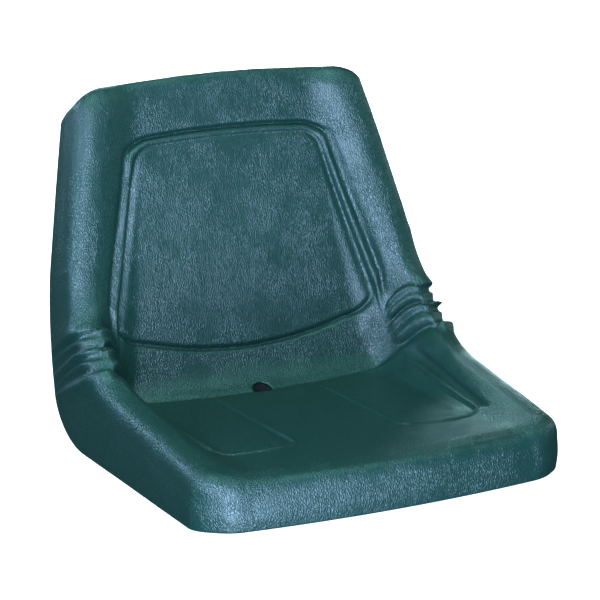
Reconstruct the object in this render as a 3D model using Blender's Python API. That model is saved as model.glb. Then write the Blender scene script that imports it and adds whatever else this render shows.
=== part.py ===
"""High-back riding-mower seat: moulded vinyl cover on foam, pressed steel pans, a sprung
flex hinge between cushion and backrest, and an operator-presence switch under the cushion.

Metres, +Z up.  The seat faces -Y, its left is +X, and it stands on Z = 0.
Side-view points are written (y, z).
"""
import math

import bmesh
import bpy
import numpy as np
from mathutils import Vector

# ---- Driving dimensions ------------------------------------------------------
GAP = 0.0003            # left between pieces that touch
SKIN = 0.0025           # vinyl thickness
STEEL = 0.0015          # sheet thickness of both pans

# Centre line of the sitting surface: cushion, crotch, backrest
FLOOR_FRONT = (-0.2375, 0.0625)
FLOOR_CORNER = (0.1290, 0.0480)
FLOOR_TOP = (0.2180, 0.4270)
FLOOR_RADIUS = 0.045

# Crest of the side bolsters
CREST_FRONT = (-0.2375, 0.0680)
CREST_CORNER = (0.1010, 0.1120)
CREST_TOP = (0.2020, 0.4270)
CREST_RADIUS = 0.190

# Free lower and rear edge of the cover
EDGE_LOW = 0.0010
EDGE_FRONT = (-0.2375, EDGE_LOW)
EDGE_HEEL = (0.1560, EDGE_LOW)
EDGE_TOP = (0.2600, 0.3940)
EDGE_RADIUS = 0.085
# Rows of the form against places along that edge: the bend's rows fan out down its side walls
EDGE_ROWS = ((0.0, 0.0), (1.0, 0.68), (1.38, 1.70), (1.62, 2.12), (2.0, 2.42), (3.0, 3.0))

# Outer half width at the front, start, middle and end of the bend, and at the top
HALF_WIDTHS = ((0.0, 0.2485), (1.0, 0.2530), (1.5, 0.2630), (2.0, 0.2480), (3.0, 0.2040))
WALL_FLARE = 0.0025     # the free edge stands this much wider than the shoulder
SHOULDER = 0.0290       # width and depth of the rolled shoulder
BOLSTER_WIDTH = 0.0600  # from crest to flat cushion
FRONT_ROLL = 0.0270
TOP_ROLL = 0.0330
FRONT_BOW = 0.0190
TOP_BOW = 0.0060
BOW_REACH = 0.1500      # a bowed end straightens out over this length
CREST_CORNER_RADII = (0.036, 0.044)     # front, top
EDGE_CORNER_RADII = (0.052, 0.056)

# Pleats: side-view lines (point, slope) that bound the flexing band, and its pleat depth
BAND_LOW = ((0.0770, 0.1030), -0.615)
BAND_HIGH = ((0.1140, 0.1620), -0.690)
FOAM_SPLIT = ((0.0950, 0.1320), -0.900)
PLEAT_VALLEYS = (1.38, 1.50, 1.62)
PLEAT_DEPTH = 0.0050
BELLOWS_INNER_X = 0.1750

# Pans
PAN_TOP = 0.0300        # height of the seat pan's plate
PAN_DEPTH = 0.0240      # of the back pan, from the cover's rear edge plane
PAN_INSET = 0.0050      # flange behind the cover's outer face
PAN_EDGE = 0.0020       # flange ends this far from the cover's free edge
PAN_REAR = 0.1600
PAN_HEEL_START = 0.0120 # its rear corners start behind the cover's straight edge
PAN_HEEL_CUT = 0.0300   # and run this far inwards
BACK_PAN_START = 0.1220 # height at which the back pan begins
STRIP_THICK = 0.0020
STRIP_HEIGHT = 0.0120
FOAM_REAR = 0.1340      # the cushion foam ends here, in front of the hinges
BACK_FOAM_START = 0.0880

# Flex hinge, one each side
HINGE = (0.1550, 0.0620)
EAR_RADIUS = 0.0110
EAR_THICK = 0.0030
BRACKET_X = 0.2010      # inner face of the bracket's ear
ARM_X = 0.1960          # inner face of the arm
BOLT_RADIUS = 0.0040
BUSH_RADIUS = 0.0055
ARM_REACH = 0.0150      # depth of the arm behind the back pan
PLATE_CLEAR = 0.0015    # between the back pan and the arms and springs behind it
ARM_FRONT_RISE = (0.0340, 0.0350)   # its front edge: above the bolt, and above the pan's foot
FOOT_WIDTH = 0.0230     # bracket's foot
BOLT_END_X = 0.1480
BOLT_HEAD = (0.0075, 0.0050)        # radius, thickness
HINGE_NUT = (0.0078, 0.0020, 0.0090)    # radius, start and end from the bolt's end
SPRING_X = (0.1600, 0.1800)
SPRING_RADIUS = 0.0080
SPRING_WIRE = 0.00125
SPRING_TURNS = 3.5
SPRING_LEG_RISE = (0.0400, 0.0220)  # above the bolt, and above the pan's foot

# Rubber stop under each arm's heel
STOP = (0.1885, 0.1440)
STOP_RADIUS = 0.0050
STOP_TOP = 0.0440
HEEL_INNER_X = 0.1845
HEEL_FORWARD = (0.0160, 0.0030)     # front and rear faces, in front of the bolt
HEEL_DROP = 0.0060      # its top, below the bolt

# Mounting rails and their nuts: 11 1/4 in by 11 1/2 in
RAIL_X = 0.142875
MOUNT_Y = (-0.18605, 0.10605)
RAIL_LENGTH = 0.3400
RAIL_WIDTH = 0.0400
RAIL_WALL = 0.0025
NUT_WIDTH = 0.0130
NUT_HEIGHT = 0.0060
NUT_BORE = 0.0040

# Drain through the crease
DRAIN = (0.0, 0.0985)
DRAIN_HALF = (0.0125, 0.0075)
DRAIN_CUT = (0.0150, 0.1000)    # heights between which the hole is cut
GROMMET_WALL = 0.0015
GROMMET_TOP = 0.0440

# Operator-presence switch under the cushion
SWITCH_Y = -0.0600
SWITCH_RADIUS = 0.0150
SWITCH_WALL = 0.0020
SWITCH_FLOOR = 0.0060
SWITCH_FLANGE = 0.0215
SCREW_X = 0.0182
SCREW_HEAD = (0.0026, 0.0055)   # radius, depth of its face below the flange's top
SCREW_RADIUS = 0.0013
TERMINAL_X = 0.0075
TERMINAL_HALF = (0.0004, 0.0031)
TERMINAL_LOW = 0.0006
SLOT_HALF = (0.0008, 0.0035)
PLUNGER_RADIUS = 0.0060
PLUNGER_FOOT = (0.0160, 0.0180)     # the collar that keeps it in the housing
COLLAR_CLEAR = 0.0010
CONTACT_RADII = (0.0105, 0.0048)
CONTACT_LEVELS = (0.0149, 0.0157)
COIL_RADIUS = 0.0034
COIL_WIRE = 0.0004
COIL_TURNS = 4
COIL_TOP = 0.0148
COIL_CLEAR = 0.0010

SIDES = (("left", 1.0), ("right", -1.0))     # the sitter's left is +X

COLOURS = {
    "vinyl": ((0.010, 0.042, 0.034), 0.42, 0.0),
    "foam": ((0.045, 0.045, 0.047), 0.95, 0.0),
    "black_steel": ((0.02, 0.02, 0.022), 0.45, 0.3),
    "zinc_steel": ((0.55, 0.56, 0.58), 0.35, 1.0),
    "spring_steel": ((0.35, 0.36, 0.38), 0.35, 1.0),
    "black_plastic": ((0.025, 0.025, 0.025), 0.5, 0.0),
    "rubber": ((0.015, 0.015, 0.015), 0.8, 0.0),
    "bronze": ((0.45, 0.30, 0.12), 0.4, 1.0),
    "copper_contact": ((0.70, 0.45, 0.20), 0.3, 1.0),
    "white_plastic": ((0.80, 0.80, 0.78), 0.4, 0.0),
}

# Grid of the moulded cover: columns across (fractions of the half width), rows along it
HALF_COLUMNS = (0.0, 0.30, 0.55, 0.74, 0.82, 0.89, 0.95, 1.0)
SEAT_ROWS = (0.0, 0.03, 0.07, 0.13, 0.25, 0.5, 0.75)
BAND_ROWS = (1.0, 1.12, 1.22, 1.32, 1.38, 1.44, 1.50, 1.56, 1.62, 1.68, 1.78, 1.88)
BACK_ROWS = (2.0, 2.3, 2.6, 2.8, 2.88, 2.94, 3.0)
ROLL_STEPS = (0.40, 0.75, 1.0)


# ---- Scene and mesh helpers --------------------------------------------------
def clear_scene():
    for obj in list(bpy.data.objects):
        bpy.data.objects.remove(obj, do_unlink=True)


def material(name):
    found = bpy.data.materials.get(name)
    if found:
        return found
    colour, roughness, metallic = COLOURS[name]
    made = bpy.data.materials.new(name)
    made.use_nodes = True
    shader = made.node_tree.nodes["Principled BSDF"]
    shader.inputs["Base Color"].default_value = (*colour, 1.0)
    shader.inputs["Roughness"].default_value = roughness
    shader.inputs["Metallic"].default_value = metallic
    return made


def add_object(name, bm, finish, pivot=None, smooth=True):
    """Make an object from a bmesh; a pivot (x, y, z) puts its origin on a joint's axis."""
    bmesh.ops.recalc_face_normals(bm, faces=bm.faces)
    if bm.calc_volume(signed=True) < 0:
        bmesh.ops.reverse_faces(bm, faces=bm.faces)
    if pivot:
        bmesh.ops.translate(bm, vec=-Vector(pivot), verts=bm.verts)
    mesh = bpy.data.meshes.new(name)
    bm.to_mesh(mesh)
    bm.free()
    if smooth:
        mesh.shade_smooth()
        mesh.set_sharp_from_angle(angle=math.radians(35))
    mesh.materials.append(material(finish))
    obj = bpy.data.objects.new(name, mesh)
    bpy.context.scene.collection.objects.link(obj)
    if pivot:
        obj.location = pivot
    return obj


def prism(outline, axis, low, high, holes=()):
    """Extrude a closed outline along an axis; each hole is an outline with the outline's sense.

    Outline points are (y, z) for axis x, (x, z) for axis y and (x, y) for axis z.
    """
    def place(point, level):
        pair = list(point)
        pair.insert("xyz".index(axis), level)
        return Vector(pair)

    bm = bmesh.new()
    for level in (low, high):
        edges = []
        for loop in (outline, *holes):
            ring = [bm.verts.new(place(point, level)) for point in loop]
            edges += [bm.edges.new((a, b)) for a, b in zip(ring, ring[1:] + ring[:1])]
        bmesh.ops.triangle_fill(bm, use_beauty=True, use_dissolve=False, edges=edges)
    bm.verts.ensure_lookup_table()
    half = len(bm.verts) // 2
    start = 0
    for loop in (outline, *holes):
        count = len(loop)
        for i in range(count):
            j = (i + 1) % count
            quad = (start + i, start + j, half + start + j, half + start + i)
            bm.faces.new([bm.verts[k] for k in quad])
        start += count
    return bm


def circle(centre, radius, count, phase=0.0):
    """Points of a circle, anticlockwise; radius may be a pair for an oval."""
    rx, ry = radius if isinstance(radius, tuple) else (radius, radius)
    angles = [phase + 2 * math.pi * k / count for k in range(count)]
    return [(centre[0] + rx * math.cos(a), centre[1] + ry * math.sin(a)) for a in angles]


def box_bm(low, high):
    corners = [(low[0], low[1]), (high[0], low[1]), (high[0], high[1]), (low[0], high[1])]
    return prism(corners, "z", low[2], high[2])


def tube(points, radius, sides):
    """A round wire along points, with flat ends."""
    bm = bmesh.new()
    points = [Vector(p) for p in points]
    rings = []
    side = None
    for i, point in enumerate(points):
        before = points[max(i - 1, 0)]
        after = points[min(i + 1, len(points) - 1)]
        along = (after - before).normalized()
        if side is None:
            side = along.orthogonal().normalized()
        side = (side - along * side.dot(along)).normalized()
        up = along.cross(side)
        ring = []
        for k in range(sides):
            angle = 2 * math.pi * k / sides
            offset = side * math.cos(angle) + up * math.sin(angle)
            ring.append(bm.verts.new(point + offset * radius))
        rings.append(ring)
    for here, there in zip(rings, rings[1:]):
        for k in range(sides):
            m = (k + 1) % sides
            bm.faces.new((here[k], here[m], there[m], there[k]))
    bm.faces.new(rings[0])
    bm.faces.new(rings[-1])
    return bm


def boolean(obj, cutter_bm, operation="DIFFERENCE", name="cutter"):
    """Add an exact Boolean whose operand is a hidden wire object."""
    bmesh.ops.recalc_face_normals(cutter_bm, faces=cutter_bm.faces)
    mesh = bpy.data.meshes.new(f"{obj.name}_{name}")
    cutter_bm.to_mesh(mesh)
    cutter_bm.free()
    cutter = bpy.data.objects.new(f"{obj.name}_{name}", mesh)
    bpy.context.scene.collection.objects.link(cutter)
    cutter.hide_render = True
    cutter.display_type = "WIRE"
    modifier = obj.modifiers.new(name, "BOOLEAN")
    modifier.operation = operation
    modifier.solver = "EXACT"
    modifier.object = cutter


def trim(bm, point, normal):
    """Cut away what lies on the side the normal points to, and close the cut."""
    geometry = bm.verts[:] + bm.edges[:] + bm.faces[:]
    cut = bmesh.ops.bisect_plane(bm, geom=geometry, dist=1e-6, plane_co=point,
                                 plane_no=normal, clear_outer=True)
    rim = [item for item in cut["geom_cut"] if isinstance(item, bmesh.types.BMEdge)]
    bmesh.ops.holes_fill(bm, edges=rim, sides=0)


def side_cut(bm, line, shift, keep_below):
    """Trim along a side-view line (point, slope) moved upwards by shift."""
    (y, z), slope = line
    up = Vector((0.0, -slope, 1.0)).normalized()
    point = Vector((0.0, y, z)) + up * shift
    trim(bm, point, up if keep_below else -up)


def offset_loop(points, distance):
    """Move a closed 2-D loop inwards by distance, corners mitred."""
    points = [Vector(p) for p in points]
    area = sum(a.x * b.y - b.x * a.y for a, b in zip(points, points[1:] + points[:1]))
    sense = 1.0 if area > 0 else -1.0
    moved = []
    for i, point in enumerate(points):
        into = (point - points[i - 1]).normalized()
        out = (points[(i + 1) % len(points)] - point).normalized()
        left_in = Vector((-into.y, into.x)) * sense
        left_out = Vector((-out.y, out.x)) * sense
        mitre = left_in + left_out
        moved.append(point + mitre * (2 * distance / mitre.length_squared))
    return moved


# ---- The moulded form --------------------------------------------------------
class BentPath:
    """A side-view line, an arc and a line.  t runs 0-1, 1-2 and 2-3, and on past both ends."""

    def __init__(self, start, corner, end, radius):
        self.start, corner, self.end = Vector(start), Vector(corner), Vector(end)
        into = (corner - self.start).normalized()
        out = (self.end - corner).normalized()
        self.turn = into.angle(out)
        tangent = radius * math.tan(self.turn / 2)
        self.bend = corner - into * tangent
        self.rise = corner + out * tangent
        self.centre = self.bend + Vector((-into.y, into.x)) * radius
        self.lengths = ((self.bend - self.start).length, radius * self.turn,
                        (self.end - self.rise).length)

    def at(self, t):
        if t <= 1:
            return self.start.lerp(self.bend, t)
        if t >= 2:
            return self.rise.lerp(self.end, t - 2)
        arm = self.bend - self.centre
        angle = self.turn * (t - 1)
        c, s = math.cos(angle), math.sin(angle)
        return self.centre + Vector((c * arm.x - s * arm.y, s * arm.x + c * arm.y))


def smooth_between(t, knots):
    """Values between (t, value) knots, easing in and out of each."""
    t = min(max(t, knots[0][0]), knots[-1][0])
    for (t0, v0), (t1, v1) in zip(knots, knots[1:]):
        if t <= t1:
            break
    f = (t - t0) / (t1 - t0)
    if t1 - t0 < 1:
        f = f * f * (3 - 2 * f)
    return v0 + (v1 - v0) * f


FLOOR = BentPath(FLOOR_FRONT, FLOOR_CORNER, FLOOR_TOP, FLOOR_RADIUS)
CREST = BentPath(CREST_FRONT, CREST_CORNER, CREST_TOP, CREST_RADIUS)
EDGE = BentPath(EDGE_FRONT, EDGE_HEEL, EDGE_TOP, EDGE_RADIUS)


def edge_point(t):
    """Where row t meets the free edge, in straight steps and on past both ends."""
    if t < 0:
        return EDGE.start + Vector((t * FLOOR.lengths[0], 0))
    for (t0, e0), (t1, e1) in zip(EDGE_ROWS, EDGE_ROWS[1:]):
        if t <= t1:
            break
    return EDGE.at(e0 + (e1 - e0) * (t - t0) / (t1 - t0))


def arc_length(t):
    """Distance along the centre line from its front, for t on or past its ends."""
    seat, bend, back = FLOOR.lengths
    if t <= 1:
        return t * seat
    if t <= 2:
        return seat + (t - 1) * bend
    return seat + bend + (t - 2) * back


def row_at(s):
    """The inverse of arc_length."""
    seat, bend, back = FLOOR.lengths
    if s <= seat:
        return s / seat
    if s <= seat + bend:
        return 1 + (s - seat) / bend
    return 2 + (s - seat - bend) / back


LENGTH = sum(FLOOR.lengths)


def outline(a, t, grow_side, grow_front, grow_top, radii):
    """Place a grid point (a across -1..1, row t) in the rounded developed outline.

    Returns x and the row it lands on.  The outline grows by grow_side beyond the crest.
    """
    low, high = -grow_front, LENGTH + grow_top
    s = low + (high - low) * arc_length(t) / LENGTH
    half = smooth_between(t, HALF_WIDTHS) - SHOULDER + grow_side
    x, sign = abs(a) * half, math.copysign(1.0, a)
    for end, towards, radius in ((low, 1, radii[0]), (high, -1, radii[1])):
        p = (x - half + radius) / radius
        q = 1 - towards * (s - end) / radius
        if p > 0 and q > 0:
            x = half - radius + radius * p * math.sqrt(1 - q * q / 2)
            s = end + towards * radius * (1 - q * math.sqrt(1 - p * p / 2))
    spread = (x / half) ** 2
    s += FRONT_BOW * spread * max(0.0, 1 - s / BOW_REACH) if s > 0 else FRONT_BOW * spread
    s -= TOP_BOW * spread * max(0.0, 1 - (LENGTH - s) / BOW_REACH) if s < LENGTH else TOP_BOW * spread
    return sign * x, row_at(s)


def pleat(t):
    """0 on a ring's top and 1 in a pleat's valley."""
    reach = (PLEAT_VALLEYS[1] - PLEAT_VALLEYS[0]) / 2
    nearest = min(abs(t - valley) for valley in PLEAT_VALLEYS)
    return max(0.0, 1 - nearest / reach)


def upper_point(x, t):
    """A point of the sitting surface, from the flat cushion up to the bolster's crest."""
    half = smooth_between(t, HALF_WIDTHS) - SHOULDER
    inward = min(1.0, max(0.0, (half - abs(x)) / BOLSTER_WIDTH))
    rise = (1 + math.cos(math.pi * inward)) / 2
    y, z = FLOOR.at(t).lerp(CREST.at(t), rise)
    return Vector((x, y, z))


def surface_grid():
    """Rows of points over the sitting surface, and the skirt's points round its outline."""
    columns = [-a for a in reversed(HALF_COLUMNS[1:])] + list(HALF_COLUMNS)
    rows = list(SEAT_ROWS) + list(BAND_ROWS) + list(BACK_ROWS)
    top = []
    for t in rows:
        top.append([upper_point(*outline(a, t, 0, 0, 0, CREST_CORNER_RADII)) for a in columns])
    last_row, last_column = len(rows) - 1, len(columns) - 1
    around = [(0, j) for j in range(last_column)]
    around += [(i, last_column) for i in range(last_row)]
    around += [(last_row, j) for j in range(last_column, 0, -1)]
    around += [(i, 0) for i in range(last_row, 0, -1)]
    skirt = {}
    for i, j in around:
        skirt[(i, j)] = skirt_points(columns[j], rows[i], top[i][j])
    return top, around, skirt


def skirt_points(a, t, crest):
    """From the crest over the rolled shoulder and down the wall to the free edge."""
    x, row = outline(a, t, 0, 0, 0, CREST_CORNER_RADII)
    wide = (SHOULDER + WALL_FLARE, FRONT_ROLL, TOP_ROLL)
    edge_x, edge_row = outline(a, t, *wide, EDGE_CORNER_RADII)
    edge_y, edge_z = edge_point(edge_row)
    edge = Vector((edge_x, edge_y, edge_z))
    step = FLOOR.at(edge_row) - FLOOR.at(row)
    flare = math.copysign(WALL_FLARE, edge_x) * abs(a)
    corner = crest + Vector((edge_x - x - flare, step.x, step.y))
    wall = edge - corner
    roll = (corner - crest).length
    shoulder_end = corner + wall * min(0.6, roll / wall.length)
    points = []
    for f in ROLL_STEPS:
        points.append(crest * (1 - f) ** 2 + corner * 2 * f * (1 - f) + shoulder_end * f * f)
    points.append(edge)
    depth = PLEAT_DEPTH * pleat(t) if abs(a) == 1 else 0.0
    inwards = Vector((-math.copysign(depth, x), 0, 0))
    return [point + inwards for point in points]


def open_form():
    """The cover's outer face as an open surface with one free edge; returns it and that edge."""
    top, around, skirt = surface_grid()
    bm = bmesh.new()
    verts = [[bm.verts.new(point) for point in row] for row in top]
    for low, high in zip(verts, verts[1:]):
        for j in range(len(low) - 1):
            bm.faces.new((low[j], low[j + 1], high[j + 1], high[j]))
    columns = []
    for i, j in around:
        columns.append([verts[i][j]] + [bm.verts.new(point) for point in skirt[(i, j)]])
    for here, there in zip(columns, columns[1:] + columns[:1]):
        for k in range(len(here) - 1):
            bm.faces.new((here[k], here[k + 1], there[k + 1], there[k]))
    bmesh.ops.triangulate(bm, faces=bm.faces)
    bmesh.ops.recalc_face_normals(bm, faces=bm.faces)
    bm.normal_update()
    if verts[1][len(verts[1]) // 2].normal.z < 0:
        bmesh.ops.reverse_faces(bm, faces=bm.faces)
        bm.normal_update()
    return bm, [column[-1] for column in columns]


def cover_shell():
    """The vinyl as one closed sheet of even thickness."""
    bm, _ = open_form()
    outer = list(bm.verts)
    faces = list(bm.faces)
    rim = [edge for edge in bm.edges if edge.is_boundary]
    inner = {v: bm.verts.new(v.co - v.normal * SKIN) for v in outer}
    for face in faces:
        bm.faces.new([inner[v] for v in reversed(face.verts)])
    for edge in rim:
        a, b = edge.verts
        bm.faces.new((a, b, inner[b], inner[a]))
    return bm


def foam_body():
    """Everything inside the cover, closed by a fan to a point that the trims take off."""
    bm, rim = open_form()
    for vert in bm.verts[:]:
        vert.co = vert.co - vert.normal * (SKIN + GAP)
    apex = bm.verts.new((0.0, EDGE_TOP[0], -0.1))
    for a, b in zip(rim, rim[1:] + rim[:1]):
        bm.faces.new((a, b, apex))
    return bm


# ---- Cover and foam ----------------------------------------------------------
def make_covers():
    bm = cover_shell()
    side_cut(bm, BAND_LOW, 0.0, keep_below=True)
    seat = add_object("seat_cover", bm, "vinyl")
    drain = prism(circle(DRAIN, drain_radii(GAP), 20), "z", *DRAIN_CUT)
    boolean(seat, drain, name="drain_cutter")

    bm = cover_shell()
    side_cut(bm, BAND_HIGH, 0.0, keep_below=False)
    add_object("back_cover", bm, "vinyl", pivot=(0.0, *HINGE))

    for name, side in SIDES:
        bm = flex_band()
        trim(bm, Vector((side * (BELLOWS_INNER_X + GAP / 2), 0, 0)), Vector((-side, 0, 0)))
        add_object(f"bellows_{name}", bm, "vinyl")
    bm = flex_band()
    for side in (-1.0, 1.0):
        trim(bm, Vector((side * (BELLOWS_INNER_X - GAP / 2), 0, 0)), Vector((side, 0, 0)))
    add_object("crease_panel", bm, "vinyl")


def flex_band():
    bm = cover_shell()
    side_cut(bm, BAND_LOW, GAP, keep_below=False)
    side_cut(bm, BAND_HIGH, -GAP, keep_below=True)
    return bm


def drain_radii(extra):
    return (DRAIN_HALF[0] + extra, DRAIN_HALF[1] + extra)


def make_foams():
    bm = foam_body()
    trim(bm, Vector((0, 0, PAN_TOP + GAP)), Vector((0, 0, -1)))
    side_cut(bm, FOAM_SPLIT, -GAP, keep_below=True)
    trim(bm, Vector((0, FOAM_REAR, 0)), Vector((0, 1, 0)))
    foam = add_object("seat_foam", bm, "foam")
    drain = prism(circle(DRAIN, drain_radii(GAP), 20), "z", *DRAIN_CUT)
    boolean(foam, drain, name="drain_cutter")

    bm = foam_body()
    point, normal = back_plane(PAN_DEPTH + GAP)
    trim(bm, point, normal)
    side_cut(bm, FOAM_SPLIT, GAP, keep_below=False)
    trim(bm, Vector((0, 0, BACK_FOAM_START)), Vector((0, 0, -1)))
    add_object("back_foam", bm, "foam", pivot=(0.0, *HINGE))


# ---- Pans and retainer strips ------------------------------------------------
def back_plane(depth):
    """A point on, and the rearward normal of, the plane this deep in front of the rear edge."""
    along = (EDGE.end - EDGE.rise).normalized()
    rearward = Vector((0.0, along.y, -along.x))
    return Vector((0.0, *EDGE.rise)) - rearward * depth, rearward


def edge_outline():
    """The cover's free edge as points round the whole seat, front left first."""
    _, around, skirt = surface_grid()
    return [skirt[key][-1] for key in around]


def seat_outline():
    """Plan outline of the underside, its rear corners cut off where the cover's heels rise."""
    plan = [p for p in edge_outline() if p.z < EDGE_LOW + 0.0005 and p.y < EDGE.bend.x + 0.001]
    left = [p.xy for p in plan if p.x > 0]
    right = [p.xy for p in plan if p.x <= 0]
    right_side = sorted(right, key=plan_angle)
    left_side = sorted(left, key=plan_angle)
    heel_x, heel_y = max(p.x for p in left), EDGE.bend.x
    corners = [(heel_x, heel_y + PAN_HEEL_START), (heel_x - PAN_HEEL_CUT, PAN_REAR)]
    heels = [Vector(p) for p in corners] + [Vector((-x, y)) for x, y in reversed(corners)]
    return right_side + left_side + heels


def plan_angle(point):
    """Angle round the underside, starting at the rear right and passing the front."""
    return math.atan2(point.x, -(point.y + 0.05))


def back_outline():
    """Outline of the backrest in its rear plane: (x, distance up that plane from its foot)."""
    origin, rearward = back_plane(0.0)
    up = Vector((0.0, -rearward.z, rearward.y))
    if up.z < 0:
        up = -up
    flat = [Vector((p.x, (p - origin).dot(up))) for p in edge_outline()]
    start = (BACK_PAN_START - origin.z) / up.z
    high = [p for p in flat if p.y > start + 0.01]
    high.sort(key=lambda p: math.atan2(p.x, p.y - 0.2))
    base = abs(min(high, key=lambda p: p.y).x)
    return high + [Vector((base, start)), Vector((-base, start))], origin, up, rearward


def tray(name, loop, place, depths, flanged, pivot=None):
    """A pressed sheet: a plate with a flange along its first edges, made thick by Solidify."""
    plate, lip = depths
    bm = bmesh.new()
    upper = [bm.verts.new(place(p, plate)) for p in loop]
    lower = [bm.verts.new(place(p, lip)) for p in loop]
    bm.faces.new(upper)
    for i in range(flanged):
        j = (i + 1) % len(loop)
        bm.faces.new((upper[i], lower[i], lower[j], upper[j]))
    bmesh.ops.delete(bm, geom=[v for v in bm.verts if not v.link_faces], context="VERTS")
    bmesh.ops.recalc_face_normals(bm, faces=bm.faces)
    bm.normal_update()
    outside = place(Vector((0.0, 0.0)), plate) - place(Vector((0.0, 0.0)), lip)
    bm.faces.ensure_lookup_table()
    if bm.faces[0].normal.dot(outside) < 0:
        bmesh.ops.reverse_faces(bm, faces=bm.faces)
    if pivot:
        bmesh.ops.translate(bm, vec=-Vector(pivot), verts=bm.verts)
    mesh = bpy.data.meshes.new(name)
    bm.to_mesh(mesh)
    bm.free()
    mesh.materials.append(material("black_steel"))
    obj = bpy.data.objects.new(name, mesh)
    bpy.context.scene.collection.objects.link(obj)
    if pivot:
        obj.location = pivot
    solid = obj.modifiers.new("sheet", "SOLIDIFY")
    solid.thickness = STEEL
    solid.offset = -1.0
    solid.use_even_offset = True
    return obj


def strip(name, loop, place, levels, run, pivot=None):
    """A band that stands on edge inside a pan's flange and clamps the cover to it.

    It follows the loop's first edges; where run is shorter than the loop, its ends are capped.
    """
    outer = offset_loop(loop, STEEL + GAP)
    inner = offset_loop(loop, STEEL + GAP + STRIP_THICK)
    bm = bmesh.new()
    rings = []
    for ring, level in ((outer, levels[0]), (outer, levels[1]), (inner, levels[1]),
                        (inner, levels[0])):
        rings.append([bm.verts.new(place(p, level)) for p in ring])
    for here, there in zip(rings, rings[1:] + rings[:1]):
        for i in range(run):
            j = (i + 1) % len(loop)
            bm.faces.new((here[i], here[j], there[j], there[i]))
    if run < len(loop):
        bm.faces.new([ring[0] for ring in rings])
        bm.faces.new([ring[run] for ring in rings])
        bmesh.ops.delete(bm, geom=[v for v in bm.verts if not v.link_faces], context="VERTS")
    add_object(name, bm, "black_plastic", pivot=pivot)


def make_seat_pan():
    loop = offset_loop(seat_outline(), PAN_INSET)

    def place(point, level):
        return Vector((point.x, point.y, level))

    pan = tray("seat_pan", loop, place, (PAN_TOP, PAN_EDGE), len(loop))
    drain = prism(circle(DRAIN, drain_radii(GAP), 20), "z", *DRAIN_CUT)
    boolean(pan, drain, name="drain_cutter")
    hole = prism(circle((0, SWITCH_Y), PLUNGER_RADIUS + 0.001, 20), "z", *DRAIN_CUT)
    boolean(pan, hole, name="switch_cutter")
    strip("seat_retainer_strip", loop, place, (0.0, STRIP_HEIGHT), len(loop))


def make_back_pan():
    outline_2d, origin, up, rearward = back_outline()
    loop = offset_loop(outline_2d, PAN_INSET)
    pivot = (0.0, *HINGE)

    def place(point, depth):
        return origin + Vector((point.x, 0, 0)) + up * point.y - rearward * depth

    sides_and_top = len(loop) - 2
    tray("back_pan", loop, place, (PAN_DEPTH, PAN_EDGE), sides_and_top, pivot=pivot)
    strip("back_retainer_strip", loop, place, (PAN_EDGE / 2, STRIP_HEIGHT), sides_and_top,
          pivot=pivot)


# ---- Mounting rails ----------------------------------------------------------
def make_rails():
    middle = sum(MOUNT_Y) / 2
    top = PAN_TOP - STEEL - GAP
    for name, side in SIDES:
        x = side * RAIL_X
        half = RAIL_WIDTH / 2
        wall = RAIL_WALL
        section = [(x - half, 0.0), (x + half, 0.0), (x + half, top), (x + half - wall, top),
                   (x + half - wall, wall), (x - half + wall, wall), (x - half + wall, top),
                   (x - half, top)]
        bm = prism(section, "y", middle - RAIL_LENGTH / 2, middle + RAIL_LENGTH / 2)
        rail = add_object(f"mounting_rail_{name}", bm, "black_steel", smooth=False)
        for end, y in zip(("front", "rear"), MOUNT_Y):
            hole = prism(circle((x, y), NUT_BORE + 0.0005, 16), "z", -0.01, 0.01)
            boolean(rail, hole, name=f"{end}_hole")
            radius = NUT_WIDTH / math.sqrt(3)
            hexagon = circle((x, y), radius, 6)
            bore = circle((x, y), NUT_BORE, 12)
            bm = prism(hexagon, "z", wall + GAP, wall + GAP + NUT_HEIGHT, holes=[bore])
            add_object(f"weld_nut_{end}_{name}", bm, "zinc_steel", smooth=False)


# ---- Drain grommet -----------------------------------------------------------
def make_grommet():
    outer = circle(DRAIN, DRAIN_HALF, 20)
    inner = circle(DRAIN, drain_radii(-GROMMET_WALL), 20)
    bm = prism(outer, "z", PAN_TOP - 2 * STEEL, GROMMET_TOP, holes=[inner])
    add_object("drain_grommet", bm, "rubber")


# ---- Flex hinges -------------------------------------------------------------
def make_hinges():
    pivot = (0.0, *HINGE)
    for name, side in SIDES:
        make_bracket(f"hinge_bracket_{name}", side)
        make_arm(f"hinge_arm_{name}", side, pivot)
        make_bolt(name, side)
        ring = prism(circle(HINGE, BUSH_RADIUS, 20), "x", *span(side, ARM_X, ARM_X + EAR_THICK),
                     holes=[circle(HINGE, BOLT_RADIUS + GAP, 20)])
        add_object(f"hinge_bush_{name}", ring, "bronze", pivot=pivot)
        make_torsion_spring(f"torsion_spring_{name}", side)
        stop = circle((side * STOP[0], STOP[1]), STOP_RADIUS, 12)
        buffer = prism(stop, "z", PAN_TOP + GAP, STOP_TOP)
        add_object(f"stop_buffer_{name}", buffer, "rubber")


def span(side, inner, outer):
    """The x range of a piece on one side, low end first."""
    return tuple(sorted((side * inner, side * outer)))


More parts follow.
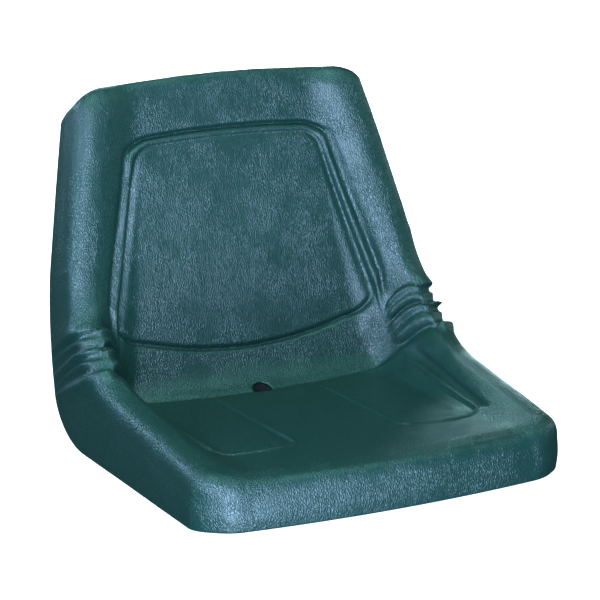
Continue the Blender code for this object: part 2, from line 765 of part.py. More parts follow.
def make_bracket(name, side):
    """An ear with the bolt's hole, on a foot that stands on the seat pan."""
    y, z = HINGE
    foot = PAN_TOP + GAP
    crown = [(y + EAR_RADIUS * math.cos(a), z + EAR_RADIUS * math.sin(a))
             for a in np.linspace(0, math.pi, 9)]
    ear = [(y + EAR_RADIUS, foot)] + crown + [(y - EAR_RADIUS, foot)]
    bm = prism(ear, "x", *span(side, BRACKET_X, BRACKET_X + EAR_THICK),
               holes=[circle(HINGE, BOLT_RADIUS + GAP, 20)])
    bracket = add_object(name, bm, "zinc_steel", smooth=False)
    low, high = span(side, BRACKET_X + 0.001, BRACKET_X + 0.001 + FOOT_WIDTH)
    plate = box_bm((low, y - EAR_RADIUS, foot), (high, y + EAR_RADIUS, foot + EAR_THICK))
    boolean(bracket, plate, "UNION", name="foot")


def make_arm(name, side, pivot):
    """A plate from the back pan down to the bolt, with the heel that meets the stop buffer."""
    y, z = HINGE
    point, rearward = back_plane(PAN_DEPTH - STEEL - PLATE_CLEAR)
    slope = -rearward.z / rearward.y
    front_low, front_high = z + ARM_FRONT_RISE[0], BACK_PAN_START + ARM_FRONT_RISE[1]

    def plate_y(height):
        return point.y + slope * (height - point.z)

    crown = [(y + EAR_RADIUS * math.cos(a), z + EAR_RADIUS * math.sin(a))
             for a in np.linspace(math.pi, 2 * math.pi, 9)]
    profile = crown + [(plate_y(front_high) + ARM_REACH, front_high),
                       (plate_y(front_high), front_high),
                       (plate_y(front_low), front_low)]
    bm = prism(profile, "x", *span(side, ARM_X, ARM_X + EAR_THICK),
               holes=[circle(HINGE, BUSH_RADIUS + GAP, 20)])
    bmesh.ops.translate(bm, vec=-Vector(pivot), verts=bm.verts)
    arm = add_object(name, bm, "zinc_steel", smooth=False)
    arm.location = pivot
    low, high = span(side, HEEL_INNER_X, ARM_X + 0.001)
    front, rear = HEEL_FORWARD
    heel = box_bm((low, y - front, STOP_TOP + GAP), (high, y - rear, z - HEEL_DROP))
    boolean(arm, heel, "UNION", name="heel")


def make_bolt(name, side):
    """Shoulder bolt through bracket, arm and spring, its head outside, and its nut inside."""
    inner, outer = BOLT_END_X, BRACKET_X + EAR_THICK + GAP
    radius, thickness = BOLT_HEAD
    head = prism(circle(HINGE, radius, 6), "x", *span(side, outer, outer + thickness))
    bolt = add_object(f"hinge_bolt_{name}", head, "zinc_steel", smooth=False)
    shank = prism(circle(HINGE, BOLT_RADIUS, 20), "x", *span(side, inner, outer + 0.001))
    boolean(bolt, shank, "UNION", name="shank")
    radius, near, far = HINGE_NUT
    nut = prism(circle(HINGE, radius, 6), "x", *span(side, inner + near, inner + far),
                holes=[circle(HINGE, BOLT_RADIUS + GAP, 20)])
    add_object(f"hinge_nut_{name}", nut, "zinc_steel", smooth=False)


def make_torsion_spring(name, side):
    """Coil round the bolt, one leg on the seat pan and one behind the back pan."""
    y, z = HINGE
    start, end = SPRING_X
    steps = 12
    points = [(side * start, y + SPRING_RADIUS, PAN_TOP + 2 * GAP + SPRING_WIRE)]
    total = int(SPRING_TURNS * steps)
    for k in range(total + 1):
        angle = 2 * math.pi * k / steps
        x = side * (start + (end - start) * k / total)
        points.append((x, y + SPRING_RADIUS * math.cos(angle), z + SPRING_RADIUS * math.sin(angle)))
    plate, rearward = back_plane(PAN_DEPTH - STEEL - PLATE_CLEAR - SPRING_WIRE)
    slope = -rearward.z / rearward.y
    for height in (z + SPRING_LEG_RISE[0], BACK_PAN_START + SPRING_LEG_RISE[1]):
        points.append((side * end, plate.y + slope * (height - plate.z), height))
    add_object(name, tube(points, SPRING_WIRE, 6), "spring_steel")


# ---- Operator-presence switch ------------------------------------------------
def make_switch():
    centre = (0.0, SWITCH_Y)
    top = PAN_TOP - STEEL - GAP
    inner = SWITCH_RADIUS - SWITCH_WALL
    floor = SWITCH_FLOOR + SWITCH_WALL
    profile = [(0.0, SWITCH_FLOOR), (SWITCH_RADIUS, SWITCH_FLOOR),
               (SWITCH_RADIUS, top - SWITCH_WALL), (SWITCH_FLANGE, top - SWITCH_WALL),
               (SWITCH_FLANGE, top), (inner, top), (inner, floor), (0.0, floor)]
    housing = add_object("switch_housing", lathe_solid(profile, centre, 24), "black_plastic")
    for name, side in SIDES:
        x = side * TERMINAL_X
        wide, deep = SLOT_HALF
        slot = box_bm((x - wide, SWITCH_Y - deep, 0.0), (x + wide, SWITCH_Y + deep, floor + 0.001))
        boolean(housing, slot, name=f"slot_{name}")
        wide, deep = TERMINAL_HALF
        blade = box_bm((x - wide, SWITCH_Y - deep, TERMINAL_LOW),
                       (x + wide, SWITCH_Y + deep, floor + 0.0015))
        add_object(f"switch_terminal_{name}", blade, "copper_contact", smooth=False)
        place = (side * SCREW_X, SWITCH_Y)
        screw_hole = prism(circle(place, SCREW_RADIUS + GAP, 10), "z", top - 0.01, PAN_TOP)
        boolean(housing, screw_hole, name=f"screw_hole_{name}")
        radius, depth = SCREW_HEAD
        under = top - SWITCH_WALL - GAP
        screw = [(0.0, top - depth), (radius, top - depth), (radius, under),
                 (SCREW_RADIUS, under), (SCREW_RADIUS, top - GAP), (0.0, top - GAP)]
        add_object(f"switch_screw_{name}", lathe_solid(screw, place, 10), "zinc_steel")
    low, high = PLUNGER_FOOT
    collar = inner - COLLAR_CLEAR
    plunger = [(0.0, low), (collar, low), (collar, high), (PLUNGER_RADIUS, high),
               (PLUNGER_RADIUS, PAN_TOP), (0.0, PAN_TOP)]
    body = lathe_solid(plunger, centre, 20)
    add_object("switch_plunger", body, "white_plastic", pivot=(0.0, SWITCH_Y, low))
    outer, bore = CONTACT_RADII
    disc = prism(circle(centre, outer, 20), "z", *CONTACT_LEVELS, holes=[circle(centre, bore, 20)])
    add_object("switch_contact", disc, "copper_contact", pivot=(0.0, SWITCH_Y, CONTACT_LEVELS[0]))
    make_coil(floor + COIL_CLEAR)


def make_coil(low):
    """The switch's compression spring, from this height up to the plunger."""
    coil = []
    steps = 10
    for k in range(COIL_TURNS * steps + 1):
        angle = 2 * math.pi * k / steps
        height = low + (COIL_TOP - low) * k / (COIL_TURNS * steps)
        x, y = COIL_RADIUS * math.cos(angle), SWITCH_Y + COIL_RADIUS * math.sin(angle)
        coil.append((x, y, height))
    add_object("switch_spring", tube(coil, COIL_WIRE, 5), "spring_steel")


def lathe_solid(profile, centre, count):
    """A turned solid whose profile starts and ends on its axis."""
    bm = bmesh.new()
    rings = []
    for radius, z in profile:
        if radius == 0.0:
            rings.append([bm.verts.new((centre[0], centre[1], z))])
        else:
            rings.append([bm.verts.new((x, y, z)) for x, y in circle(centre, radius, count)])
    for here, there in zip(rings, rings[1:]):
        for k in range(count):
            m = (k + 1) % count
            quad = [here[k % len(here)], here[m % len(here)], there[m % len(there)],
                    there[k % len(there)]]
            bm.faces.new(list(dict.fromkeys(quad)))
    return bm


def main():
    clear_scene()
    make_covers()
    make_foams()
    make_seat_pan()
    make_back_pan()
    make_rails()
    make_grommet()
    make_hinges()
    make_switch()


main()
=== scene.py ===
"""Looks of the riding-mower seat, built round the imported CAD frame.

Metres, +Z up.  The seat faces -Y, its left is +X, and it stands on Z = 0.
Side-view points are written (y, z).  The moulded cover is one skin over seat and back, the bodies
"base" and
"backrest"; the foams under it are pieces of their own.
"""
import math

import bmesh
import bpy
import numpy as np
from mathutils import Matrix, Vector


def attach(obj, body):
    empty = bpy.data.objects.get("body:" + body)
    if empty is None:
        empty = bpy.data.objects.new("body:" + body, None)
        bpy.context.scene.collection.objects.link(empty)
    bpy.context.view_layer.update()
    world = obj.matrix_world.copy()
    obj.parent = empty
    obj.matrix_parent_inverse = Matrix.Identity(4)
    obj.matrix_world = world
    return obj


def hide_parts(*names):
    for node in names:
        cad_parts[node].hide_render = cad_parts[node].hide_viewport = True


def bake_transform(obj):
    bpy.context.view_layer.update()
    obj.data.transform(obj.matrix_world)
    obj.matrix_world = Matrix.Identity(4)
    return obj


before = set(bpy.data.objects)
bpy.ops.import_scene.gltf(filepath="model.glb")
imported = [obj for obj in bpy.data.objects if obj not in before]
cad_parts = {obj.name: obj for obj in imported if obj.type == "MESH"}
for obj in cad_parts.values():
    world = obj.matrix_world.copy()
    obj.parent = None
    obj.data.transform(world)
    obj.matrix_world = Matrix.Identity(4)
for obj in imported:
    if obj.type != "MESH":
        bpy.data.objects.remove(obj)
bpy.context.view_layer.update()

# ---- The moulded form's driving dimensions, as in the CAD ----------------------
FLOOR_FRONT, FLOOR_CORNER, FLOOR_TOP = (-0.2375, 0.0625), (0.1290, 0.0480), (0.2180, 0.4270)
FLOOR_RADIUS = 0.045
CREST_FRONT, CREST_CORNER, CREST_TOP = (-0.2375, 0.0680), (0.1010, 0.1120), (0.2020, 0.4270)
CREST_RADIUS = 0.190
EDGE_LOW = 0.0010
EDGE_FRONT, EDGE_HEEL, EDGE_TOP = (-0.2375, EDGE_LOW), (0.1560, EDGE_LOW), (0.2600, 0.3940)
EDGE_RADIUS = 0.085
EDGE_ROWS = ((0.0, 0.0), (1.0, 0.68), (1.38, 1.70), (1.62, 2.12), (2.0, 2.42), (3.0, 3.0))
HALF_WIDTHS = ((0.0, 0.2485), (1.0, 0.2530), (1.5, 0.2630), (2.0, 0.2480), (3.0, 0.2040))
WALL_FLARE = 0.0025
SHOULDER = 0.0290
BOLSTER_WIDTH = 0.0600
FRONT_ROLL = 0.0270
TOP_ROLL = 0.0330
FRONT_BOW = 0.0190
TOP_BOW = 0.0060
BOW_REACH = 0.1500
CREST_CORNER_RADII = (0.036, 0.038)
EDGE_CORNER_RADII = (0.052, 0.034)      # front, top
HEM_CORNER_RADII = (0.0435, 0.0475)     # of the turned-in hem, which follows the pans
PAN_TOP = 0.0300
PAN_DEPTH = 0.0240
FOAM_SPLIT = ((0.0950, 0.1320), -0.900)
FOAM_REAR = 0.1340
BACK_FOAM_START = 0.1000
SPRING_POCKET = ((0.170, 0.190), (0.1500, 0.1900), (0.090, 0.150))  # x, y and z, in the foam

# ---- Detail of the skin --------------------------------------------------------
SKIN = 0.0020           # vinyl thickness
FOAM_CLEAR = 0.0032     # foam below the skin's outer face
LIP_RADIUS = 0.0030
LIP_WIDTH = 0.0085      # the hem turned in under the pan's flange
WALL_BELLY = 0.0012
CORNER_BELLY = 0.0018     # how full the back's two top corners are
PANEL_SIDE = ((0.408, 0.1828), (0.668, 0.1315))     # (s, half width) of the closed panel line
RIM_SIDE = ((0.408, 0.1912), (0.668, 0.1435))       # and of the groove outside it
SIDE_BOW = 0.0015
PANEL_TOP = 0.6815
RIM_TOP = 0.6927
TOP_CURVE = 0.35
PANEL_BOTTOM = 0.4041
PANEL_BOTTOM_CURVE = 0.98
PANEL_BOTTOM_DROP = (0.150, 40.0)   # half width from which, and how fast, its ends drop
PANEL_CORNERS = (0.020, 0.011)      # top, bottom
RIM_CORNER = 0.028
RIM_ENDS = (0.374, 0.392)           # the groove outside runs out between these
PANEL_DEPTHS = (0.0066, 0.0058, 0.0018)             # bottom, sides, top
PANEL_SLOPES = (0.0042, 0.0023)     # inside and outside its line
PANEL_TOP_START = (0.600, 0.665)
RIM_DEPTH, RIM_SLOPES = 0.0076, (0.0024, 0.0034)
BEAD_RISE = 0.0014
PANEL_CROWN = 0.0010
THIGH_SIDE = ((0.100, 0.1832), (0.345, 0.1955))
THIGH_INNER = 0.0735
THIGH_FRONT = 0.0870
THIGH_FRONT_CURVE = (0.130, 3.6)
THIGH_CORNERS = (0.022, 0.008)      # outer, inner
THIGH_FADE = (0.285, 0.325)         # the inner line runs out between these
THIGH_END = (0.335, 0.352)          # and the outer line and its groove between these
THIGH_LINE = (0.0026, 0.0034)       # height, half width
THIGH_INSIDE = (0.0010, 0.0048, 0.0040)     # dip inside the line: depth, distance, half width
THIGH_GROOVE = (0.0056, 0.0065, 0.0068)     # groove outside it, likewise
THIGH_PAD = 0.0014
CREASE = 0.3340
CREASE_CURVE = 0.50
CREASE_ENDS = (0.188, 0.206)
CREASE_DEPTH, CREASE_SLOPES = 0.0024, (0.0060, 0.0036)
ROLL_RISE = 0.0024                  # of the soft roll above the crease
BAND_RISE = 0.0020                  # of the cushion's front band
# Rows of the three valleys across a bolster: (place, row), the place running from -1 at
# the rings' inner ends through 0 at the crest to 1 at the free edge.
VALLEYS = (((-1.0, 1.800), (-0.3, 1.685), (0.12, 1.628), (0.35, 1.640), (0.9, 1.640)),
           ((-1.0, 1.665), (-0.3, 1.555), (0.12, 1.485), (0.35, 1.540), (0.9, 1.575)),
           ((-1.0, 1.392), (-0.3, 1.368), (0.12, 1.325), (0.35, 1.380), (0.9, 1.500)))
VALLEY_DEPTHS = (0.0042, -0.0014, 0.0056, -0.0014, 0.0052)    # with the line on each ring
RING_LINE = 0.40            # how far down each ring its line lies
RING_RISE = 0.0042
RING_START = 0.1960         # half width of the rings' inner ends
RING_EASE = 0.055
RING_FADE = (0.30, 0.85, 0.62)
ROLL_WEIGHT = 1.30          # how far the shoulder's roll is drawn to its corner
DRAIN = (0.0, 0.1005)
DRAIN_HALF = (0.0130, 0.0125)
INNER_FACE_KEEP = 0.68      # share of the faces left once the skin's hidden side is thinned


# ---- Small mathematics ---------------------------------------------------------
def smooth_step(low, high, value):
    f = np.clip((value - low) / (high - low), 0.0, 1.0)
    return f * f * (3 - 2 * f)


def hump(distance, half_width):
    """A smooth bump, 1 at no distance and nearly 0 past half_width."""
    return np.exp(-(distance / (0.55 * half_width)) ** 2)


def rounded_corner(a, b, radius):
    """Distance inside two sides that meet in a corner of this radius."""
    near = (a < radius) & (b < radius)
    arc = radius - np.hypot(np.minimum(a - radius, 0), np.minimum(b - radius, 0))
    return np.where(near, arc, np.minimum(a, b))


def lerp(a, b, f):
    return a + (b - a) * np.asarray(f)[..., None]


def unit(vectors):
    return vectors / np.maximum(np.linalg.norm(vectors, axis=-1, keepdims=True), 1e-12)


# ---- The moulded form, as in the CAD -------------------------------------------
class BentPath:
    """A side-view line, an arc and a line.  t runs 0-1, 1-2 and 2-3, and on past both ends."""

    def __init__(self, start, corner, end, radius):
        self.start, corner, self.end = np.array(start), np.array(corner), np.array(end)
        into, out = unit(corner - self.start), unit(self.end - corner)
        self.turn = math.acos(float(into @ out))
        tangent = radius * math.tan(self.turn / 2)
        self.bend = corner - into * tangent
        self.rise = corner + out * tangent
        self.centre = self.bend + np.array((-into[1], into[0])) * radius
        self.lengths = (np.linalg.norm(self.bend - self.start), radius * self.turn,
                        np.linalg.norm(self.end - self.rise))

    def at(self, t):
        t = np.asarray(t, float)
        arm = self.bend - self.centre
        angle = self.turn * (t - 1)
        c, s = np.cos(angle), np.sin(angle)
        arc = np.stack((c * arm[0] - s * arm[1], s * arm[0] + c * arm[1]), -1) + self.centre
        low, high = (t <= 1)[..., None], (t >= 2)[..., None]
        return np.where(low, lerp(self.start, self.bend, t),
                        np.where(high, lerp(self.rise, self.end, t - 2), arc))


FLOOR = BentPath(FLOOR_FRONT, FLOOR_CORNER, FLOOR_TOP, FLOOR_RADIUS)
CREST = BentPath(CREST_FRONT, CREST_CORNER, CREST_TOP, CREST_RADIUS)
EDGE = BentPath(EDGE_FRONT, EDGE_HEEL, EDGE_TOP, EDGE_RADIUS)
LENGTH = sum(FLOOR.lengths)


def arc_length(t):
    """Distance along the centre line from its front, for t on or past its ends."""
    seat, bend, back = FLOOR.lengths
    return np.where(t <= 1, t * seat,
                    np.where(t <= 2, seat + (t - 1) * bend, seat + bend + (t - 2) * back))


def row_at(s):
    """The inverse of arc_length."""
    seat, bend, back = FLOOR.lengths
    past = np.where(s <= seat + bend, 1 + (s - seat) / bend, 2 + (s - seat - bend) / back)
    return np.where(s <= seat, s / seat, past)


def eased(t, knots):
    value = np.zeros_like(t)
    for (t0, v0), (t1, v1) in zip(knots, knots[1:]):
        f = np.clip((t - t0) / (t1 - t0), 0, 1)
        if t1 - t0 < 1:
            f = f * f * (3 - 2 * f)
        value += (v1 - v0) * f
    return value + knots[0][1]


def smoothed(values, step, spread):
    """A table of values at even steps, its corners eased and its ends carried on straight."""
    reach = int(4 * spread / step)
    kernel = np.exp(-(np.arange(-reach, reach + 1) * step / spread) ** 2 / 2)
    padded = np.pad(values, reach, mode="reflect", reflect_type="odd")
    return np.convolve(padded, kernel / kernel.sum(), mode="valid")


TABLE_STEP = 0.001
TABLE_PLACES = np.arange(-0.08, LENGTH + 0.08, TABLE_STEP)
WIDTH_TABLE = smoothed(eased(row_at(TABLE_PLACES), HALF_WIDTHS), TABLE_STEP, 0.010)


def half_width(t):
    return np.interp(arc_length(t), TABLE_PLACES, WIDTH_TABLE)


def edge_places():
    """Where along the free edge the rows end, against distance along the centre line."""
    t = row_at(TABLE_PLACES)
    rows, places = zip(*EDGE_ROWS)
    slope = places[-1] - places[-2]
    beyond = places[-1] + (t - rows[-1]) * slope
    before = t * places[1]
    raw = np.where(t > rows[-1], beyond, np.where(t < 0, before, np.interp(t, rows, places)))
    return smoothed(raw, TABLE_STEP, 0.010)


EDGE_TABLE = edge_places()


def edge_point(t):
    """Where row t meets the free edge, on past both ends."""
    found = EDGE.at(np.interp(arc_length(t), TABLE_PLACES, EDGE_TABLE))
    before = EDGE.start + np.stack((t * FLOOR.lengths[0], np.zeros_like(t)), -1)
    return np.where((t < 0)[..., None], before, found)


def outline(a, t, grow, radii):
    """Place grid points (a across -1..1, row t) in the rounded developed outline.

    grow is how far the outline goes past the crest at the sides, front and top.
    Returns x and the row each point lands on.
    """
    side, front, top = grow
    low, high = -front, LENGTH + top
    s = low + (high - low) * arc_length(t) / LENGTH
    half = half_width(t) - SHOULDER + side
    x = np.abs(a) * half
    for end, towards, radius in ((low, 1, radii[0]), (high, -1, radii[1])):
        p = (x - half + radius) / radius
        q = 1 - towards * (s - end) / radius
        inside = (p > 0) & (q > 0)
        p, q = np.clip(p, 0, 1), np.clip(q, 0, 1)
        x = np.where(inside, half - radius + radius * p * np.sqrt(1 - q * q / 2), x)
        s = np.where(inside, end + towards * radius * (1 - q * np.sqrt(1 - p * p / 2)), s)
    spread = (x / half) ** 2
    front_share = np.clip(1 - s / BOW_REACH, 0, 1)
    top_share = np.clip(1 - (LENGTH - s) / BOW_REACH, 0, 1)
    s = s + FRONT_BOW * spread * front_share - TOP_BOW * spread * top_share
    return np.copysign(x, a), row_at(s)


def bolster_rise(x, t):
    """0 on the flat cushion and 1 at the bolster's crest."""
    inward = np.clip((half_width(t) - SHOULDER - np.abs(x)) / BOLSTER_WIDTH, 0, 1)
    return (1 + np.cos(np.pi * inward)) / 2


def upper_points(x, t):
    """The sitting surface, from the flat cushion up to the bolster's crest."""
    side = lerp(FLOOR.at(t), CREST.at(t), bolster_rise(x, t))
    return np.concatenate((x[..., None], side), -1)


# ---- The grid over it ----------------------------------------------------------
def spaced(stops):
    """Values from the first stop on; each later stop is (value, number of steps to it)."""
    values = [stops[0]]
    for value, steps in stops[1:]:
        values += list(np.linspace(values[-1], value, steps + 1)[1:])
    return np.array(values)


BAND_MIDDLE, BAND_HALF = 0.865, 0.075
HALF_COLUMNS = (0.0, (0.315, 9), (0.385, 11), (BAND_MIDDLE - BAND_HALF, 12),
                (BAND_MIDDLE + BAND_HALF, 25), (1.0, 10))
ROWS = (0.0, (0.24, 12), (0.335, 20), (0.95, 20), (1.20, 14), (1.90, 84), (2.0, 6),
        (2.13, 30), (2.77, 28), (2.90, 28), (3.0, 8))


def panel_band(t):
    """Where, across the seat, the dense columns follow the panels' side lines."""
    s = arc_length(t)
    thigh = np.interp(s, *zip(*THIGH_SIDE))
    back = np.interp(s, *zip(*PANEL_SIDE))
    line = thigh + (back - thigh) * smooth_step(THIGH_SIDE[1][0], PANEL_SIDE[0][0], s)
    return (line - 0.004) / (half_width(t) - SHOULDER)


def bent_columns(a, t):
    """Move columns sideways so that the dense ones lie along the panels' side lines."""
    middle = panel_band(t)
    size = np.abs(a)
    low, high = BAND_MIDDLE - BAND_HALF, BAND_MIDDLE + BAND_HALF
    half = np.minimum(BAND_HALF, 1 - middle - 0.02)
    inner = size * (middle - half) / low
    band = middle + (size - BAND_MIDDLE) * half / BAND_HALF
    outer = middle + half + (size - high) * (1 - middle - half) / (1 - high)
    return np.copysign(np.where(size < low, inner, np.where(size < high, band, outer)), a)


def side_line(s, ends):
    (s0, x0), (s1, x1) = ends
    return x0 + (x1 - x0) * (s - s0) / (s1 - s0)


def inside_side(x, s, ends):
    """Distance inside a slanting, slightly bowed side line."""
    (s0, x0), (s1, x1) = ends
    bow = SIDE_BOW * np.sin(np.pi * np.clip((s - s0) / (s1 - s0), 0, 1))
    return (side_line(s, ends) + bow - np.abs(x)) * math.cos(math.atan((x0 - x1) / (s1 - s0)))


def valley(distance, depth, slopes):
    """A groove with one slope inside its line and another outside."""
    return -depth * np.exp(-(distance / np.where(distance > 0, *slopes)) ** 2)


def panel_relief(x, s):
    """The back panel: a closed groove, a raised bead round it, and a groove outside that."""
    side = inside_side(x, s, PANEL_SIDE)
    top = PANEL_TOP - TOP_CURVE * x * x - s
    from_x, rate = PANEL_BOTTOM_DROP
    drop = rate * np.maximum(0, np.abs(x) - from_x) ** 2
    bottom = s - PANEL_BOTTOM - PANEL_BOTTOM_CURVE * x * x + drop
    whole = np.where(bottom < top, rounded_corner(side, bottom, PANEL_CORNERS[1]),
                     rounded_corner(side, top, PANEL_CORNERS[0]))
    outside = rounded_corner(inside_side(x, s, RIM_SIDE), RIM_TOP - TOP_CURVE * x * x - s,
                             RIM_CORNER)
    rim = smooth_step(*RIM_ENDS, s)
    gap = np.maximum(outside - whole, 0.004)
    bead = BEAD_RISE * np.exp(-((whole + 0.45 * gap) / (0.30 * gap)) ** 2)
    crown = PANEL_CROWN * smooth_step(0.0, 0.050, whole)
    low, mid, high = PANEL_DEPTHS
    depth = mid + (high - mid) * smooth_step(*PANEL_TOP_START, s)
    depth = depth + (low - mid) * (1 - smooth_step(0.0, 0.014, bottom))
    return (valley(whole, depth, PANEL_SLOPES) + crown
            + rim * (valley(outside, RIM_DEPTH, RIM_SLOPES) + bead))


def thigh_relief(x, s):
    """Two thigh panels: a wide groove outside, fine raised lines in front and inside."""
    size = np.abs(x)
    side = side_line(s, THIGH_SIDE) - size
    inner = size - THIGH_INNER
    centre, curve = THIGH_FRONT_CURVE
    front = s - THIGH_FRONT - curve * (size - centre) ** 2
    outer_corner = rounded_corner(side, front, THIGH_CORNERS[0])
    inner_corner = rounded_corner(inner, front, THIGH_CORNERS[1])
    whole = np.where(side < inner, outer_corner, inner_corner)
    fade = 1 - smooth_step(*THIGH_FADE, s)
    beside = smooth_step(0.012, 0.0, side) * smooth_step(0.0, 0.030, front)
    line = THIGH_LINE[0] * hump(whole, THIGH_LINE[1])
    line = line - THIGH_INSIDE[0] * hump(whole - THIGH_INSIDE[1], THIGH_INSIDE[2])
    groove = -THIGH_GROOVE[0] * beside * hump(side + THIGH_GROOVE[1], THIGH_GROOVE[2])
    pad = THIGH_PAD * smooth_step(0.0, 0.040, whole)
    end = 1 - smooth_step(*THIGH_END, s)
    return line * (fade + (1 - fade) * beside) * end + groove * end + pad * fade


def crease_relief(x, s):
    """The sharp crease where cushion and back meet, and the soft roll above it."""
    line = CREASE + CREASE_CURVE * x * x
    calm = 1 - smooth_step(*CREASE_ENDS, np.abs(x))
    roll = ROLL_RISE * hump(s - line - 0.036, 0.040)
    return calm * (roll + valley(s - line, CREASE_DEPTH, CREASE_SLOPES))


def front_relief(x, s):
    """The cushion's raised front band."""
    return BAND_RISE * hump(s - 0.014, 0.040) * (1 - smooth_step(0.16, 0.21, np.abs(x)))


def valley_rows(place):
    """The rows of the valleys and of the lines on the rings between them, from the top."""
    stops = np.arange(-1.2, 1.2, 0.01)
    rows = [np.interp(place, stops, smoothed(np.interp(stops, *zip(*line)), 0.01, 0.10))
            for line in VALLEYS]
    for k in (1, 3):
        rows.insert(k, rows[k - 1] + (rows[k] - rows[k - 1]) * RING_LINE)
    return rows


def pleat_relief(t, place):
    """Two double rings across the bolster, between three valleys."""
    rows = valley_rows(place)
    above, below = t - rows[0], rows[-1] - t
    relief = np.where(above > 0, -VALLEY_DEPTHS[0] * np.exp(-(above / RING_EASE) ** 2), 0.0)
    relief += np.where(below > 0, -VALLEY_DEPTHS[-1] * np.exp(-(below / RING_EASE) ** 2), 0.0)
    for k, (high, low) in enumerate(zip(rows, rows[1:])):
        f = np.clip((t - low) / (high - low), 0, 1)
        sunk = -(VALLEY_DEPTHS[k + 1] * (1 - f) + VALLEY_DEPTHS[k] * f)
        arched = sunk + (RING_RISE - sunk) * 4 * f * (1 - f)
        relief = np.where((t > low) & (t <= high), arched, relief)
    start, end, loss = RING_FADE
    return relief * smooth_step(-1.05, -0.82, place) * (1 - loss * smooth_step(start, end, place))


def waviness(points):
    """The slight unevenness of vinyl over foam."""
    x, y, z = (points[..., i] for i in range(3))
    wave = np.sin(61 * x + 23 * z + 1.3) * np.sin(47 * y + 31 * z + 0.4)
    return 0.00028 * wave + 0.00018 * np.sin(113 * x - 71 * y + 2.1) * np.sin(97 * z + 1.9)


def skin_surface():
    """Rows of points of the sitting surface, and the skirt's border and rings."""
    half = spaced(HALF_COLUMNS)
    a, t = np.meshgrid(np.concatenate((-half[:0:-1], half)), spaced(ROWS))
    x, row = outline(bent_columns(a, t), t, (0, 0, 0), CREST_CORNER_RADII)
    s = arc_length(row)
    top = upper_points(x, row)
    ahead = unit(np.gradient(top, axis=0))
    across = unit(np.gradient(top, axis=1))
    normal = unit(np.cross(across, ahead))
    crest = half_width(row) - SHOULDER
    relief = panel_relief(x, s) + thigh_relief(x, s) + crease_relief(x, s) + front_relief(x, s)
    relief += pleat_relief(row, (np.abs(x) - crest) / (crest - RING_START))
    relief += waviness(top)
    return top + normal * relief[..., None], skirt_rings(a, t, top, x, row)


def skirt_rings(a, t, top, x, row):
    """Points round the outline: over the rolled shoulder, down the wall and in under the hem."""
    last_row, last_column = a.shape[0] - 1, a.shape[1] - 1
    around = [(0, j) for j in range(last_column)]
    around += [(i, last_column) for i in range(last_row)]
    around += [(last_row, j) for j in range(last_column, 0, -1)]
    around += [(i, 0) for i in range(last_row, 0, -1)]
    i, j = np.array(around).T
    a, t, crest, x, row = a[i, j], t[i, j], top[i, j], x[i, j], row[i, j]
    wide = np.array((SHOULDER + WALL_FLARE, FRONT_ROLL, TOP_ROLL))
    edge_x, edge_row = outline(bent_columns(a, t), t, wide, EDGE_CORNER_RADII)
    edge = np.concatenate((edge_x[:, None], edge_point(edge_row)), -1)
    hem_x, hem_row = outline(bent_columns(a, t), t, wide - LIP_WIDTH, HEM_CORNER_RADII)
    hem = np.concatenate((hem_x[:, None], edge_point(hem_row)), -1)
    inwards = unit(hem - edge)
    step = FLOOR.at(edge_row) - FLOOR.at(row)
    flare = np.copysign(WALL_FLARE, edge_x) * np.abs(a)
    corner = crest + np.column_stack((edge_x - x - flare, step))
    wall = edge - corner
    roll = np.linalg.norm(corner - crest, axis=1)
    share = np.minimum(0.6, roll / np.linalg.norm(wall, axis=1))
    shoulder_end = corner + wall * share[:, None]
    down = unit(wall)
    wall_end = edge - down * LIP_RADIUS
    outwards = unit(corner - crest)
    rings = [crest]
    for f in np.linspace(0, 1, 12)[1:]:
        ends = crest * (1 - f) ** 2 + shoulder_end * f * f
        drawn = 2 * ROLL_WEIGHT * f * (1 - f)
        rings.append((ends + corner * drawn) / ((1 - f) ** 2 + f * f + drawn))
    for f in np.linspace(0, 1, 9)[1:]:
        belly = outwards * (WALL_BELLY * math.sin(math.pi * f))
        rings.append(shoulder_end + (wall_end - shoulder_end) * f + belly)
    wall_ends = len(rings) - 1
    turned = edge + inwards * LIP_RADIUS
    for f in np.linspace(0, 1, 5)[1:]:
        rings.append(wall_end * (1 - f) ** 2 + edge * 2 * f * (1 - f) + turned * f * f)
    for f in np.linspace(0, 1, 4)[1:]:
        rings.append(turned + (hem - turned) * f)
    rings = np.array(rings)
    along = np.linalg.norm(np.diff(rings, axis=0), axis=2)
    run = np.concatenate((np.zeros((1, len(i))), np.cumsum(along, axis=0)))
    ahead = unit(np.roll(rings, -1, axis=1) - np.roll(rings, 1, axis=1))
    outer = unit(np.cross(ahead, unit(np.gradient(rings, axis=0))))
    hem_calm = 1 - smooth_step(-0.012, 0.0, run - run[-1] + LIP_WIDTH)
    pleats = pleat_relief(np.broadcast_to(t, run.shape), run / run[-1])
    relief = (pleats + waviness(rings)) * hem_calm
    full = smooth_step(2.0, 3.0, t) * smooth_step(0.1, 1.0, np.abs(a))
    down_wall = np.minimum(run / run[wall_ends], 1.0)
    relief += CORNER_BELLY * full * np.sin(math.pi * down_wall) * smooth_step(0, 0.3, down_wall)
    return around, rings + outer * relief[..., None]


